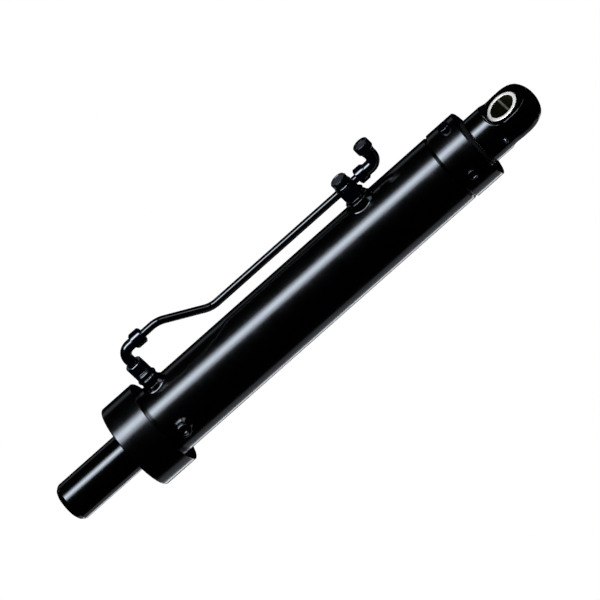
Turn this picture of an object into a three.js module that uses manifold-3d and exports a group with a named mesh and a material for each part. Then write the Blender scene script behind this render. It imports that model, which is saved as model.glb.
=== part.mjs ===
// Double-acting hydraulic cylinder with a spigot mount at its base, a hard transfer tube along its
// back and a bushed rod eye. Millimetres. +X runs along the cylinder from the free end face of the
// spigot (the origin) to the rod eye, and +Z points the way the two oil ports point.
import * as THREE from 'three';
import { mergeVertices } from 'three/addons/utils/BufferGeometryUtils.js';
import Module from 'manifold-3d';

const wasm = await Module();
wasm.setup();

// ---- driving dimensions -------------------------------------------------------------------------
const GAP = 0.3;                 // running and seating clearance between neighbouring pieces
const ROUND = 32;                // sides of the large turned pieces
const SMALL = 16;                // sides of fittings and plugs

const SPIGOT_R = 28.5;           // 57 mm spigot
const CAP_FACE_X = 117;          // collar face that the spigot stands out of
const CAP_R = 64;                // 128 mm collar
const CAP_END_X = 168.7;
const CAP_PILOT_X = 184;         // inner end of the base cap, inside the bore

const BARREL_R = 50;             // 100 mm outside
const BORE_R = 40;               // 80 mm bore
const BARREL_X0 = 154.4;
const BARREL_X1 = 669.8;

const GLAND_R = 51;
const GLAND_X0 = 579.3;          // inner end of the gland, which stops the piston
const GLAND_SHOULDER_X = 670.1;
const GLAND_FACE_X = 716.5;

const ROD_R = 28;                // 56 mm rod
const ROD_BORE_R = 28.8;
const ROD_END_X = 720.3;
const PISTON_X0 = 209.3;
const PISTON_X1 = 268.7;
const STOP_TUBE_X1 = 308.7;      // with GLAND_X0 this leaves a stroke of 270

const EYE_R = 34;                // 68 mm bar
const EYE_HEAD_R = 35.6;         // the bar swells a little round the pin
const EYE_X0 = ROD_END_X + GAP;
const DOME_X = 777.5;             // where the bar starts to round off
const EYE_END_X = 812;
const PIN_X = 772;
const EYE_HALF = 19;             // half thickness across the flats
const BUSH_R = 23.2;
const BUSH_BORE_R = 17.5;        // for a 35 mm pin
const BUSH_HALF = 19;
const EYE_CLOCK = THREE.MathUtils.degToRad(10); // the eye stands turned this far from the ports

const BASE_PORT_X = 197.2;
const BLEED_X = 192.5;
const ROD_PORT_X = 555.6;
const PORT_R = 7;                // drilling through the barrel wall
const TUBE_R = 5.5;
const TUBE_BORE_R = 3.7;
const TUBE_Z_HIGH = 112.9;       // where the tube leaves the base elbow
const TUBE_Z_LOW = 66.4;         // along the barrel
const TUBE_Y = 22;               // beside the rod-side port
const ELBOW_R = 7.6;
const ELBOW_BORE_R = 4;
const OUTLET_R = 8.8;
const NUT_R = 11.2;            // turned outside of the tube nuts
const ELBOW_BEND = 14;
const OUTLET_BEND = 12;
const OUTLET_X = 604.9;
const BASE_NUT_X = 234.4;       // tube side of the base elbow's nut
const OUTLET_NUT_X = 571.1;     // tube side of the outlet elbow's nut
const TOP_PLUG_X = 701;
const SIDE_PLUG_X = 691.6;
const TOP_PLUG_ANGLE = 79.5;     // degrees from -Y towards +Z
const SIDE_PLUG_ANGLE = -2.5;

// ---- materials ----------------------------------------------------------------------------------
const paint = (color, roughness, metalness) => new THREE.MeshStandardMaterial({ color, roughness, metalness });
const FINISH = {
  black: () => paint(0x08090c, 0.22, 0.1),
  fitting: () => paint(0x10131a, 0.35, 0.6),
  cap: () => paint(0x0c0e12, 0.45, 0.0),
  chrome: () => paint(0xd8dade, 0.08, 1.0),
  steel: () => paint(0xb9b9b4, 0.3, 1.0),
  iron: () => paint(0x5d5f62, 0.5, 0.9),
  bronze: () => paint(0x8a6f3c, 0.4, 0.8),
  seal: () => paint(0x1b1d20, 0.7, 0.0),
  wear: () => paint(0x2e5a4a, 0.6, 0.0),
};

// ---- shape helpers ------------------------------------------------------------------------------
// Position-only, welded, outward-facing copy of a closed geometry.
function closed(geometry) {
  const g = geometry.index ? geometry.toNonIndexed() : geometry.clone();
  for (const name of Object.keys(g.attributes)) if (name !== 'position') g.deleteAttribute(name);
  const m = mergeVertices(g, 1e-4);
  const p = m.attributes.position;
  const kept = [];
  let volume = 0;
  const a = new THREE.Vector3(), b = new THREE.Vector3(), c = new THREE.Vector3();
  for (let i = 0; i < m.index.count; i += 3) {
    const t = [m.index.getX(i), m.index.getX(i + 1), m.index.getX(i + 2)];
    if (t[0] === t[1] || t[1] === t[2] || t[0] === t[2]) continue;
    a.fromBufferAttribute(p, t[0]); b.fromBufferAttribute(p, t[1]); c.fromBufferAttribute(p, t[2]);
    volume += a.dot(b.clone().cross(c));
    kept.push(t);
  }
  m.setIndex(kept.flatMap(([i, j, k]) => (volume < 0 ? [i, k, j] : [i, j, k])));
  return m;
}

function solid(geometry) {
  const g = closed(geometry);
  return new wasm.Manifold(new wasm.Mesh({
    numProp: 3,
    vertProperties: new Float32Array(g.attributes.position.array),
    triVerts: new Uint32Array(g.index.array),
  }));
}

function shell(manifold) {
  const m = manifold.getMesh();
  const g = new THREE.BufferGeometry();
  g.setAttribute('position', new THREE.BufferAttribute(new Float32Array(m.vertProperties), 3));
  g.setIndex(Array.from(m.triVerts));
  return g;
}

const cut = (body, ...tools) => tools.reduce((s, t) => s.subtract(t), body);
const join = (body, ...more) => more.reduce((s, t) => s.add(t), body);

// Profiles are [radius, distance along the axis] pairs. turnedX runs along +X, turnedZ along +Z.
const profile = (pairs) => pairs.map(([r, d]) => new THREE.Vector2(r, d));
const turnedX = (pairs, sides = ROUND) => closed(new THREE.LatheGeometry(profile(pairs), sides).rotateZ(-Math.PI / 2));
const turnedZ = (pairs, sides = SMALL) => closed(new THREE.LatheGeometry(profile(pairs), sides).rotateX(Math.PI / 2));
const ring = (r0, r1, d0, d1) => [[r0, d0], [r1, d0], [r1, d1], [r0, d1], [r0, d0]];
const rod = (r, d0, d1) => [[0, d0], [r, d0], [r, d1], [0, d1]];

// Six-sided bar with its across-flats size, bevelled at both ends like a turned nut blank.
function hexZ(acrossFlats, d0, d1, bevel = 0.8) {
  const reach = acrossFlats / Math.sqrt(3);
  const prism = new THREE.CylinderGeometry(reach, reach, d1 - d0, 6).rotateX(Math.PI / 2).translate(0, 0, (d0 + d1) / 2);
  const trim = turnedZ([[0, d0], [reach - bevel * 1.6, d0], [reach + 0.2, d0 + bevel * 1.6], [reach + 0.2, d1 - bevel * 1.6], [reach - bevel * 1.6, d1], [0, d1]], SMALL);
  return solid(prism).intersect(solid(trim));
}

// A path of straight runs with round corners, sampled so that each ring of a tube falls on a point.
class BentPath extends THREE.Curve {
  constructor(corners, radius, perBend = 6) {
    super();
    const at = corners.map((c) => new THREE.Vector3(...c));
    this.points = [at[0]];
    for (let i = 1; i < at.length - 1; i++) {
      const back = at[i - 1].clone().sub(at[i]).normalize();
      const on = at[i + 1].clone().sub(at[i]).normalize();
      const half = back.angleTo(on) / 2;
      const reach = radius / Math.tan(half);
      const middle = at[i].clone().add(back.clone().add(on).normalize().multiplyScalar(radius / Math.sin(half)));
      const from = at[i].clone().addScaledVector(back, reach).sub(middle);
      const to = at[i].clone().addScaledVector(on, reach).sub(middle);
      const turn = from.angleTo(to);
      for (let k = 0; k <= perBend; k++) {
        const u = k / perBend;
        this.points.push(from.clone().multiplyScalar(Math.sin((1 - u) * turn) / Math.sin(turn))
          .addScaledVector(to, Math.sin(u * turn) / Math.sin(turn)).add(middle));
      }
    }
    this.points.push(at.at(-1));
  }
  get steps() { return this.points.length - 1; }
  getPoint(t, out = new THREE.Vector3()) {
    const f = Math.min(Math.max(t, 0), 1) * this.steps;
    const i = Math.min(Math.floor(f + 1e-9), this.steps - 1);
    return out.copy(this.points[i]).lerp(this.points[i + 1], f - i);
  }
  getPointAt(u, out) { return this.getPoint(u, out); }
  getTangent(t, out = new THREE.Vector3()) {
    const i = Math.round(Math.min(Math.max(t, 0), 1) * this.steps);
    const before = this.points[Math.max(i - 1, 0)], here = this.points[i], after = this.points[Math.min(i + 1, this.steps)];
    const first = i > 0 ? here.clone().sub(before).normalize() : new THREE.Vector3();
    const second = i < this.steps ? after.clone().sub(here).normalize() : new THREE.Vector3();
    return out.copy(first.add(second).normalize());
  }
  getTangentAt(u, out) { return this.getTangent(u, out); }
}

function bentBar(path, r, sides, boreR = 0) {
  const circle = (target, radius) => {
    for (let i = 0; i < sides; i++) {
      const a = (i / sides) * 2 * Math.PI;
      const x = radius * Math.cos(a), y = radius * Math.sin(a);
      if (i === 0) target.moveTo(x, y); else target.lineTo(x, y);
    }
    target.closePath();
    return target;
  };
  const shape = circle(new THREE.Shape(), r);
  if (boreR) shape.holes.push(circle(new THREE.Path(), boreR));
  return closed(new THREE.ExtrudeGeometry(shape, { steps: path.steps, extrudePath: path, bevelEnabled: false }));
}

// Turns a piece made along +Z so that it stands out of the cylinder at an angle from -Y towards +Z.
const standing = (geometry, x, angle) => geometry.rotateX(THREE.MathUtils.degToRad(90 - angle)).translate(x, 0, 0);

function piece(name, geometry, material, parent) {
  const mesh = new THREE.Mesh(geometry.isBufferGeometry ? geometry : shell(geometry), material);
  mesh.geometry.computeVertexNormals();
  mesh.name = name;
  parent.add(mesh);
  return mesh;
}

// ---- assembly -----------------------------------------------------------------------------------
const cylinder = new THREE.Group();
const barrelGroup = new THREE.Group();   // everything fixed to the barrel
const rodGroup = new THREE.Group();      // everything that goes out with the rod
const eyeGroup = new THREE.Group();      // rod eye, made with its pin along Z, then clocked
eyeGroup.rotation.x = EYE_CLOCK;
rodGroup.add(eyeGroup);
cylinder.add(barrelGroup, rodGroup);

const barrelEnvelope = solid(turnedX(rod(BARREL_R + GAP, CAP_END_X - 40, BARREL_X1 + 20)));
const glandEnvelope = solid(turnedX(rod(GLAND_R + GAP, GLAND_SHOULDER_X - 10, GLAND_FACE_X + 20)));

// Base: spigot shaft seated in the collar.
piece('spigot_shaft', turnedX([
  [0, 0], [19.8, 0], [24.2, 2.2], [27.2, 6.2], [SPIGOT_R, 8.8], [SPIGOT_R, CAP_FACE_X + 26], [0, CAP_FACE_X + 26],
]), FINISH.black(), barrelGroup);

piece('base_cap', turnedX([
  [0, CAP_FACE_X + 26 + GAP], [SPIGOT_R + GAP, CAP_FACE_X + 26 + GAP], [SPIGOT_R + GAP, CAP_FACE_X + 2], [SPIGOT_R + GAP + 2, CAP_FACE_X],
  [CAP_R - 2.8, CAP_FACE_X], [CAP_R - 0.8, CAP_FACE_X + 0.8], [CAP_R, CAP_FACE_X + 2.8],
  [CAP_R, CAP_END_X - 1.5], [CAP_R - 1.5, CAP_END_X], [BARREL_R + 0.4, CAP_END_X],
  [BARREL_R + 0.4, BARREL_X0 - GAP], [BORE_R - 0.4, BARREL_X0 - GAP],
  [BORE_R - 0.4, 172.5], [36.9, 172.5], [36.9, 177.5], [BORE_R - 0.4, 177.5],
  [BORE_R - 0.4, CAP_PILOT_X - 1.6], [BORE_R - 2, CAP_PILOT_X], [0, CAP_PILOT_X],
]), FINISH.black(), barrelGroup);

piece('base_cap_oring', turnedX(ring(37.2, 39.5, 172.9, 177.1)), FINISH.seal(), barrelGroup);

// Barrel: honed tube, drilled for two ports and the bleed point.
const drillZ = (r, x, from, to) => solid(turnedZ(rod(r, from, to), SMALL).translate(x, 0, 0));
piece('barrel_tube', cut(
  solid(turnedX([
    [BORE_R, BARREL_X0], [BARREL_R, BARREL_X0], [BARREL_R, BARREL_X1 - 2], [BARREL_R - 2, BARREL_X1],
    [BORE_R + 1.5, BARREL_X1], [BORE_R, BARREL_X1 - 1.5], [BORE_R, BARREL_X0],
  ])),
  drillZ(PORT_R, BASE_PORT_X, 20, 60),
  drillZ(PORT_R, ROD_PORT_X, 20, 60),
  solid(standing(turnedZ(rod(3.5, 20, 60), SMALL), BLEED_X, 0)),
), FINISH.black(), barrelGroup);

// Gland: flange outside, long guide inside with its seal grooves.
piece('gland_body', cut(
  solid(turnedX([
    [ROD_BORE_R, GLAND_X0], [38.4, GLAND_X0], [39.6, GLAND_X0 + 1.2], [39.6, 646], [36.6, 646], [36.6, 654.5], [39.6, 654.5],
    [39.6, GLAND_SHOULDER_X], [GLAND_R - 2.2, GLAND_SHOULDER_X], [GLAND_R, GLAND_SHOULDER_X + 2.2],
    [GLAND_R, GLAND_FACE_X - 1.5], [GLAND_R - 1.5, GLAND_FACE_X], [34, GLAND_FACE_X], [34, 707],
    [ROD_BORE_R, 707], [ROD_BORE_R, 703], [35.2, 703], [35.2, 692], [ROD_BORE_R, 692], [ROD_BORE_R, 682],
    [34.2, 682], [34.2, 676], [ROD_BORE_R, 676], [ROD_BORE_R, 638], [31.5, 638], [31.5, 592], [ROD_BORE_R, 592],
    [ROD_BORE_R, GLAND_X0],
  ])),
  solid(standing(turnedZ(rod(5.3, 38.5, 70), SMALL), TOP_PLUG_X, TOP_PLUG_ANGLE)),
  solid(standing(turnedZ(rod(5.3, 38.5, 70), SMALL), SIDE_PLUG_X, SIDE_PLUG_ANGLE)),
), FINISH.black(), barrelGroup);

piece('gland_oring', turnedX(ring(36.9, 39.5, 646.4, 650.6)), FINISH.seal(), barrelGroup);
piece('gland_backup_ring', turnedX(ring(36.9, 39.5, 651.4, 654.1)), FINISH.wear(), barrelGroup);
piece('rod_guide_ring', turnedX(ring(ROD_R + 0.35, 31.2, 592.3, 637.7)), FINISH.bronze(), barrelGroup);
piece('rod_buffer_ring', turnedX(ring(ROD_R + 0.35, 33.9, 676.3, 681.7)), FINISH.wear(), barrelGroup);
piece('rod_seal', turnedX(ring(ROD_R + 0.35, 34.9, 692.3, 702.7)), FINISH.seal(), barrelGroup);
piece('rod_wiper', turnedX([
  [ROD_R + 0.35, 707.3], [33.7, 707.3], [33.7, 717], [32.4, 717.6], [29.4, 719.8], [ROD_R + 0.35, 719.8], [ROD_R + 0.35, 707.3],
]), FINISH.seal(), barrelGroup);

// Two plugs in the gland's rim, each with a hexagon socket.
for (const [name, at, angle, r, top] of [
  ['gland_top_plug', TOP_PLUG_X, TOP_PLUG_ANGLE, 8.3, 57.4], ['gland_side_plug', SIDE_PLUG_X, SIDE_PLUG_ANGLE, 6.8, 56.4],
]) {
  const body = solid(standing(turnedZ([
    [0, 38.9], [5, 38.9], [5, 47], [r, 47], [r, top - 0.9], [r - 0.9, top], [0, top],
  ]), at, angle));
  const socket = solid(standing(new THREE.CylinderGeometry(3.5, 3.5, 8, 6).rotateX(Math.PI / 2).translate(0, 0, top - 0.6), at, angle));
  const seat = solid(standing(turnedZ(rod(5.05, 38, 53), SMALL), at, angle));
  piece(name, join(cut(body, glandEnvelope), body.intersect(seat)).subtract(socket), FINISH.fitting(), barrelGroup);
}

// Base-side port: welded boss, stud adaptor, swivel nut and elbow.
piece('base_port_boss', cut(
  solid(turnedZ([
    [0, 42], [18.5, 42], [18.5, 48.6], [16.4, 51], [14.2, 53.6], [12.9, 57], [12.4, 60.6], [11.9, 62], [0, 62],
  ]).translate(BASE_PORT_X, 0, 0)),
  barrelEnvelope, drillZ(PORT_R, BASE_PORT_X, 40, 70),
), FINISH.black(), barrelGroup);

piece('base_port_adaptor', turnedZ([
  [ELBOW_BORE_R, 51.5], [6.6, 51.5], [6.6, 62.3], [13.2, 62.3], [14.2, 63.1], [14.2, 65], [12.9, 66.2],
  [12.3, 66.4], [12.3, 73.6], [11.4, 74.6], [ELBOW_BORE_R, 74.6], [ELBOW_BORE_R, 51.5],
]), FINISH.fitting(), barrelGroup).position.set(BASE_PORT_X, 0, 0);

piece('base_swivel_nut', cut(
  join(hexZ(23, 76.6, 89.6).intersect(solid(turnedZ(rod(12.4, 70, 95)))), solid(turnedZ(rod(12.4, 74.9, 77.4))), solid(turnedZ(rod(12.2, 88.8, 91)))),
  solid(turnedZ(rod(ELBOW_R + 0.4, 70, 95))),
), FINISH.fitting(), barrelGroup).position.set(BASE_PORT_X, 0, 0);

const baseElbowPath = new BentPath([[BASE_PORT_X, 0, 75.4], [BASE_PORT_X, 0, TUBE_Z_HIGH], [BASE_NUT_X - 8.2, 0, TUBE_Z_HIGH]], ELBOW_BEND, 5);
piece('base_elbow', bentBar(baseElbowPath, ELBOW_R, 12, ELBOW_BORE_R), FINISH.fitting(), barrelGroup);

// Tube nuts are made along +Z from their open end and laid over to point along +X.
const tubeNut = (length, tubeSide, acrossFlats) => cut(
  join(
    hexZ(acrossFlats, 1.2, length - 1.2).rotate([0, 0, 20]).intersect(solid(turnedZ(rod(NUT_R, 0, length)))),
    solid(turnedZ(rod(acrossFlats / 2 - 0.5, 0, length))),
  ),
  solid(turnedZ(rod(TUBE_R + 0.35, -5, length + 5))),
  solid(turnedZ(rod(ELBOW_R + 0.4, tubeSide, length + 5))),
);
const baseNut = piece('base_tube_nut', tubeNut(17, 7.6, 21.2), FINISH.fitting(), barrelGroup);
baseNut.rotation.y = -Math.PI / 2;
baseNut.position.set(BASE_NUT_X, 0, TUBE_Z_HIGH);

const tubePath = new BentPath([
  [BASE_NUT_X - 7.6, 0, TUBE_Z_HIGH], [259, 0, TUBE_Z_HIGH], [317.5, TUBE_Y, TUBE_Z_LOW], [OUTLET_NUT_X + 6.9, TUBE_Y, TUBE_Z_LOW],
], 26, 5);
piece('transfer_tube', bentBar(tubePath, TUBE_R, 10, TUBE_BORE_R), FINISH.black(), barrelGroup);

const endNut = piece('outlet_tube_nut', tubeNut(15, 7.2, 21.2), FINISH.fitting(), barrelGroup);
endNut.rotation.y = Math.PI / 2;
endNut.position.set(OUTLET_NUT_X, TUBE_Y, TUBE_Z_LOW);

// Outlet elbow turns the transfer tube up beside the rod-side port.
const outletPath = new BentPath([[OUTLET_NUT_X + 15.3, TUBE_Y, TUBE_Z_LOW], [OUTLET_X, TUBE_Y, TUBE_Z_LOW], [OUTLET_X, TUBE_Y, 85]], OUTLET_BEND, 5);
const outletBore = new BentPath([[OUTLET_NUT_X, TUBE_Y, TUBE_Z_LOW], [OUTLET_X, TUBE_Y, TUBE_Z_LOW], [OUTLET_X, TUBE_Y, 110]], OUTLET_BEND, 5);
piece('outlet_elbow', cut(
  join(
    solid(bentBar(outletPath, OUTLET_R, 16)),
    solid(turnedX(rod(ELBOW_R, OUTLET_NUT_X + 7.5, OUTLET_NUT_X + 20), SMALL).translate(0, TUBE_Y, TUBE_Z_LOW)),
    solid(turnedZ([
      [0, 80], [7.6, 80], [7.6, 83.4], [9.3, 84.2], [9.3, 86.6], [8.6, 87.4], [7.9, 87.4], [7.9, 95.7], [7.2, 96.4], [0, 96.4],
    ]).translate(OUTLET_X, TUBE_Y, 0)),
  ),
  solid(bentBar(outletBore, ELBOW_BORE_R, 8)),
), FINISH.fitting(), barrelGroup);

piece('outlet_cap', turnedZ([
  [0, 98.2], [8.6, 98.2], [9.2, 100.2], [10.8, 100.2], [11.6, 99.4], [11.6, 89], [11, 88.2], [8.3, 88.2], [8.3, 96.9], [0, 96.9],
], SMALL), FINISH.cap(), barrelGroup).position.set(OUTLET_X, TUBE_Y, 0);

// Rod-side port: welded boss, stud adaptor and blanking cap.
piece('rod_port_boss', cut(
  solid(turnedZ([
    [0, 40], [21.5, 40], [21.5, 45.6], [17.6, 54.5], [17, 56.5], [16, 57.5], [0, 57.5],
  ]).translate(ROD_PORT_X, 0, 0)),
  barrelEnvelope, drillZ(8.4, ROD_PORT_X, 38, 70),
), FINISH.black(), barrelGroup);

piece('rod_port_adaptor', cut(
  join(
    hexZ(26.2, 60.4, 81.4),
    solid(turnedZ([
      [0, 51.5], [8, 51.5], [8, 57.8], [13.6, 57.8], [13.6, 61.2], [13, 61.6], [13, 80.6], [12.9, 81.6], [12.9, 83.6],
      [12.2, 84.3], [7.9, 84.3], [7.9, 90.2], [7.2, 90.8], [0, 90.8],
    ])),
  ),
  solid(turnedZ(rod(4.6, 40, 100))),
), FINISH.fitting(), barrelGroup).position.set(ROD_PORT_X, 0, 0);

piece('rod_port_cap', cut(hexZ(21.6, 84.7, 93.9), solid(turnedZ(rod(8.3, 80, 91.3)))),
  FINISH.cap(), barrelGroup).position.set(ROD_PORT_X, 0, 0);

// Strut from the rod-side boss that carries the end of the transfer tube.
const strutFrom = new THREE.Vector3(559.5, 7, 51), strutTo = new THREE.Vector3(568.5, 18.8, 61.5);
const strutBox = new THREE.BoxGeometry(7, 10, strutFrom.distanceTo(strutTo));
strutBox.applyQuaternion(new THREE.Quaternion().setFromUnitVectors(new THREE.Vector3(0, 0, 1), strutTo.clone().sub(strutFrom).normalize()));
strutBox.translate(...strutFrom.clone().add(strutTo).multiplyScalar(0.5).toArray());
piece('tube_support', cut(
  solid(strutBox),
  solid(turnedZ([[0, 30], [22, 30], [22, 46.1], [18.1, 55], [17.5, 58.4], [0, 58.4]], SMALL).translate(ROD_PORT_X, 0, 0)),
  solid(turnedZ(rod(15.3, 50, 62), SMALL).translate(ROD_PORT_X, 0, 0)),
  solid(turnedX(rod(NUT_R + 0.4, OUTLET_NUT_X - 0.5, OUTLET_NUT_X + 15.5), SMALL).translate(0, TUBE_Y, TUBE_Z_LOW)),
  solid(turnedX(rod(TUBE_R + 0.4, 540, 583), SMALL).translate(0, TUBE_Y, TUBE_Z_LOW)),
  barrelEnvelope,
), FINISH.black(), barrelGroup);

// Bleed point beside the base-side port, facing -Y.
piece('bleed_boss', cut(
  solid(standing(turnedZ([
    [0, 43], [12, 43], [12, 50.6], [9.6, 53.4], [8.2, 56], [8.2, 58.4], [9.7, 59.6], [9.7, 63.2], [8.9, 64], [0, 64],
  ]), BLEED_X, 0)),
  barrelEnvelope,
  solid(standing(turnedZ(rod(3, 30, 70), SMALL), BLEED_X, 0)),
  solid(standing(turnedZ(rod(6, 55.4, 70), SMALL), BLEED_X, 0)),
), FINISH.black(), barrelGroup);
piece('bleed_plug', solid(standing(turnedZ([[0, 55.8], [5.7, 55.8], [5.7, 62], [5.1, 62.6], [0, 62.6]]), BLEED_X, 0))
  .subtract(solid(standing(new THREE.CylinderGeometry(3.2, 3.2, 6, 6).rotateX(Math.PI / 2).translate(0, 0, 61.6), BLEED_X, 0))),
FINISH.fitting(), barrelGroup);

// Rod with its piston, retained by a nut, and the stop tube that limits the stroke.
piece('piston_rod', turnedX([
  [0, 187], [16, 187], [17.5, 188.5], [17.5, 209], [19.2, 209], [20, 209.8], [20, 269], [ROD_R - 1.5, 269], [ROD_R, 270.5],
  [ROD_R, ROD_END_X], [21, ROD_END_X], [21, 740.5], [19.5, 742], [0, 742],
]), FINISH.chrome(), rodGroup);
piece('piston', turnedX([
  [20.3, PISTON_X0], [38.3, PISTON_X0], [39.3, PISTON_X0 + 1], [39.3, 215], [36.8, 215], [36.8, 223.6], [39.3, 223.6],
  [39.3, 233.8], [34, 233.8], [34, 243.8], [39.3, 243.8], [39.3, 254.4], [36.8, 254.4], [36.8, 263], [39.3, 263],
  [39.3, PISTON_X1 - 1], [38.3, PISTON_X1], [20.3, PISTON_X1], [20.3, PISTON_X0],
]), FINISH.iron(), rodGroup);
const nut = piece('piston_nut', cut(hexZ(50, 0, 20.4, 1.2), solid(turnedZ(rod(17.9, -5, 30)))), FINISH.iron(), rodGroup);
nut.rotation.y = Math.PI / 2;
nut.position.set(188.4, 0, 0);
piece('stop_tube', turnedX(ring(ROD_R + 0.35, 33.2, 269.3, STOP_TUBE_X1)), FINISH.iron(), rodGroup);
piece('piston_seal', turnedX(ring(34.3, 39.5, 234.1, 243.5)), FINISH.seal(), rodGroup);
piece('piston_wear_ring_rear', turnedX(ring(37.1, 39.58, 215.3, 223.3)), FINISH.wear(), rodGroup);
piece('piston_wear_ring_front', turnedX(ring(37.1, 39.58, 254.7, 262.7)), FINISH.wear(), rodGroup);

// Rod eye: round bar with a domed end, flats milled on both sides and a bushed pin hole.
const dome = [];
for (let i = 0; i <= 6; i++) {
  const a = (i / 6) * (Math.PI / 2), n = 2 / 2.15;
  dome.push([EYE_HEAD_R * Math.cos(a) ** n, DOME_X + (EYE_END_X - DOME_X) * Math.sin(a) ** n]);
}
dome[6][0] = 0;
const pocket = (side) => {
  const z0 = side > 0 ? EYE_HALF : -60, z1 = side > 0 ? 60 : -EYE_HALF;
  const outline = new THREE.Shape();
  outline.moveTo(60, -60);
  outline.lineTo(60, 60);
  outline.lineTo(0, 60);
  for (let i = 0; i <= 18; i++) {
    const a = (i / 18) * Math.PI, c = Math.cos(a), s = Math.sin(a);
    outline.lineTo(-28.4 * s ** 0.8, 31.5 * Math.sign(c) * Math.abs(c) ** 0.8);
  }
  outline.lineTo(0, -60);
  outline.closePath();
  return solid(new THREE.ExtrudeGeometry(outline, { depth: z1 - z0, bevelEnabled: false }).translate(PIN_X + 3.6, 0, z0));
};
piece('rod_eye', cut(
  solid(turnedX([[0, EYE_X0], [EYE_R - 1.2, EYE_X0], [EYE_R, EYE_X0 + 1.2], [EYE_R, 756], [EYE_HEAD_R, 768], ...dome])),
  pocket(1), pocket(-1),
  solid(turnedX(rod(21.4, EYE_X0 - 5, 742.4))),
  solid(turnedZ(rod(BUSH_R + GAP, -40, 40), ROUND).translate(PIN_X, 0, 0)),
  solid(turnedZ(rod(3.1, 24, 50), 16).rotateX(Math.PI / 2).translate(750, 0, 0)),
), FINISH.black(), eyeGroup);

piece('eye_bush', turnedZ([
  [BUSH_BORE_R + 0.8, -BUSH_HALF], [BUSH_R - 0.5, -BUSH_HALF], [BUSH_R, -BUSH_HALF + 0.5], [BUSH_R, BUSH_HALF - 0.5],
  [BUSH_R - 0.5, BUSH_HALF], [BUSH_BORE_R + 0.8, BUSH_HALF], [BUSH_BORE_R, BUSH_HALF - 0.8], [BUSH_BORE_R, -BUSH_HALF + 0.8],
  [BUSH_BORE_R + 0.8, -BUSH_HALF],
], ROUND), FINISH.steel(), eyeGroup).position.set(PIN_X, 0, 0);

const nipple = piece('grease_nipple', turnedZ([
  [0, 26], [2.8, 26], [2.8, 34.4], [3.4, 34.4], [3.4, 36], [2.2, 36.6], [1.9, 37.4], [2.4, 38.2], [2.3, 39.2], [1.5, 39.8], [0, 39.8],
], 16), FINISH.steel(), eyeGroup);
nipple.rotation.x = Math.PI / 2;
nipple.position.set(750, 0, 0);

export default cylinder;
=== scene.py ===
import math

import bmesh
import bpy
import numpy as np
from mathutils import Matrix, Vector


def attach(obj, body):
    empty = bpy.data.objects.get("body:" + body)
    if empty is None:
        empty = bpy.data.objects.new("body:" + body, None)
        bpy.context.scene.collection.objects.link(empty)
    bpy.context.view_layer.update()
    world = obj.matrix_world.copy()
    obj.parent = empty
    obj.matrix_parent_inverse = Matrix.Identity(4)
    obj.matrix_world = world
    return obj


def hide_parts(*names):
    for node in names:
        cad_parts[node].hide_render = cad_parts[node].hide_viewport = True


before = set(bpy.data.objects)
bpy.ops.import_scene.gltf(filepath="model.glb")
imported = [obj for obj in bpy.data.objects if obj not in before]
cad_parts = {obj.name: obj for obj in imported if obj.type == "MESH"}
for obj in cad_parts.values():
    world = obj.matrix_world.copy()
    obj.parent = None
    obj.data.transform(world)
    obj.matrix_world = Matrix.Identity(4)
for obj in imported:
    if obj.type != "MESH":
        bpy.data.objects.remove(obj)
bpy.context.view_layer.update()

MM = 0.001
PI = math.pi

# ------------------------------------------------------------------ view and light directions
ALPHA, THETA, PHI = math.radians(41.5), math.radians(10.0), math.radians(64.5)
ca, sa, ct, st = math.cos(ALPHA), math.sin(ALPHA), math.cos(THETA), math.sin(THETA)
Xc = Vector((ca * ct, sa * ct, st))
Uc = Vector((-sa, ca, 0.0))
Wc = Vector((-ca * st, -sa * st, ct))
Zc = Wc * math.cos(PHI) + Uc * math.sin(PHI)
Yc = Uc * math.cos(PHI) - Wc * math.sin(PHI)
RIGHT = Vector((Xc.x, Yc.x, Zc.x))
UP = Vector((Xc.y, Yc.y, Zc.y))
BACK = Vector((Xc.z, Yc.z, Zc.z))
U_ROW = Vector((0, math.cos(PHI), math.sin(PHI)))     # across the barrel, towards the ports' side
W_ROW = Vector((0, -math.sin(PHI), math.cos(PHI)))    # across the barrel, towards the viewer
X_ROW = Vector((1, 0, 0))

PX = 1.287 * MM
DIST = 8.6
centre = Vector((0.3989, 0, 0)) + RIGHT * (5.15 * PX) + UP * (5.15 * PX)

cam_data = bpy.data.cameras.new("camera")
cam_data.sensor_width = 36.0
cam_data.lens = 36.0 * DIST / (600 * PX)
cam_data.clip_start, cam_data.clip_end = 0.1, 60
cam = bpy.data.objects.new("camera", cam_data)
bpy.context.scene.collection.objects.link(cam)
cam.location = centre + BACK * DIST
cam.rotation_mode = "QUATERNION"
cam.rotation_quaternion = Matrix((
    (RIGHT.x, UP.x, BACK.x), (RIGHT.y, UP.y, BACK.y), (RIGHT.z, UP.z, BACK.z))).to_quaternion()
bpy.context.scene.camera = cam

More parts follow.
